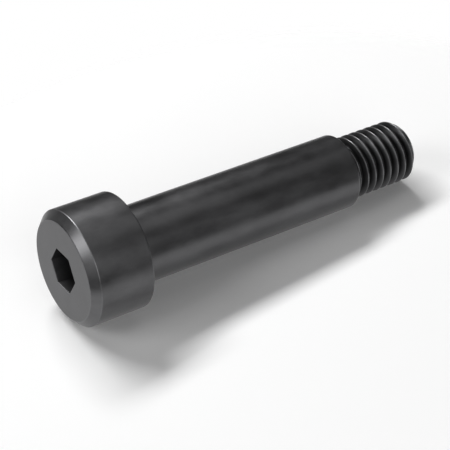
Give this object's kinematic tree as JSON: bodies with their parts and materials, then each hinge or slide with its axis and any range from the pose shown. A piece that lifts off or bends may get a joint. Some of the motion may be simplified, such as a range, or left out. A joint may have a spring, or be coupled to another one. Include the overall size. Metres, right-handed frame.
{
  "type": "shoulder bolt",
  "caption": "Shoulder bolt with a tall chamfered head, a hexagon socket, a long plain shoulder and a short coarse thread.",
  "frame": {"origin": "centre of the head's flat face, which the bolt stands on", "axes": "+Z along the bolt's axis, from the head towards the thread; +X through a corner of the hexagon socket"},
  "size_m": [0.018, 0.018, 0.0625],
  "materials": {
    "black_oxide_steel": "black oxide on turned steel, satin, very fine turning marks"
  },
  "bodies": {
    "root": {"shoulder_bolt": "black_oxide_steel"}
  },
  "joints": []
}
